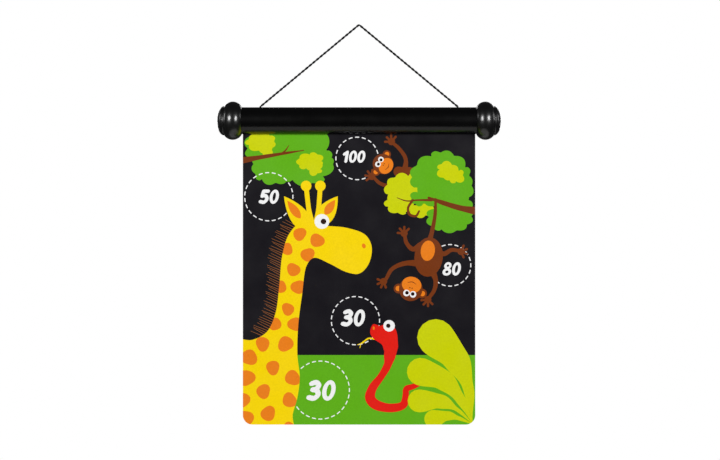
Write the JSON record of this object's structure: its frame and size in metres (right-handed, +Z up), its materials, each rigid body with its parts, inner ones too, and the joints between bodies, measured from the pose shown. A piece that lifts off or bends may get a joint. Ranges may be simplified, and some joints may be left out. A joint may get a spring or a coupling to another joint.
{
  "type": "magnetic dartboard",
  "caption": "Roll-up magnetic dartboard: a printed flexible sheet hanging from a corded black tube, wound in by turning the ball-shaped end knobs.",
  "frame": {"origin": "the point where the cord hangs on its hook: the inner side of the cord's apex", "axes": "+Z up, +X to the right of a player facing the board, +Y to the back, so the play face looks along -Y"},
  "size_m": [0.36, 0.0484, 0.5065],
  "materials": {
    "black_gloss_plastic": "glossy moulded plastic",
    "grey_plastic": "matt moulded plastic",
    "printed_sheet": "flexible iron-filled sheet, satin colour print on its front and plain dark back",
    "black_cord": "twisted cord",
    "friction_rubber": "matt",
    "zinc_steel": "zinc plated"
  },
  "bodies": {
    "housing": {"housing_tube": "black_gloss_plastic", "left_end_bush": "grey_plastic", "right_end_bush": "grey_plastic", "hanging_cord": "black_cord", "left_cord_knot": "black_cord", "right_cord_knot": "black_cord", "play_sheet": "printed_sheet"},
    "winder": {"winding_rod": "grey_plastic", "sheet_clamp_strip": "grey_plastic", "play_sheet_wound_turn": "printed_sheet", "left_friction_ring": "friction_rubber", "right_friction_ring": "friction_rubber", "left_knob": "black_gloss_plastic", "right_knob": "black_gloss_plastic", "left_washer": "zinc_steel", "right_washer": "zinc_steel", "left_knob_screw": "zinc_steel", "right_knob_screw": "zinc_steel", "left_knob_cap": "black_gloss_plastic", "right_knob_cap": "black_gloss_plastic"},
    "sheet_end": {"play_sheet_lower_edge": "printed_sheet"}
  },
  "joints": [
    {"name": "knob_turn", "type": "hinge", "parent": "housing", "child": "winder", "pos_m": [0, 0, -0.1197], "axis": [1, 0, 0], "range_deg": [0, 2340]},
    {"name": "sheet_slide", "type": "slide", "parent": "housing", "child": "sheet_end", "axis": [0, 0, 1], "range_m": [0, 0.3468], "deforming": ["play_sheet"]}
  ],
  "couplings": [
    {"joint": "sheet_slide", "follows": "knob_turn", "m_per_rad": 0.008491}
  ]
}
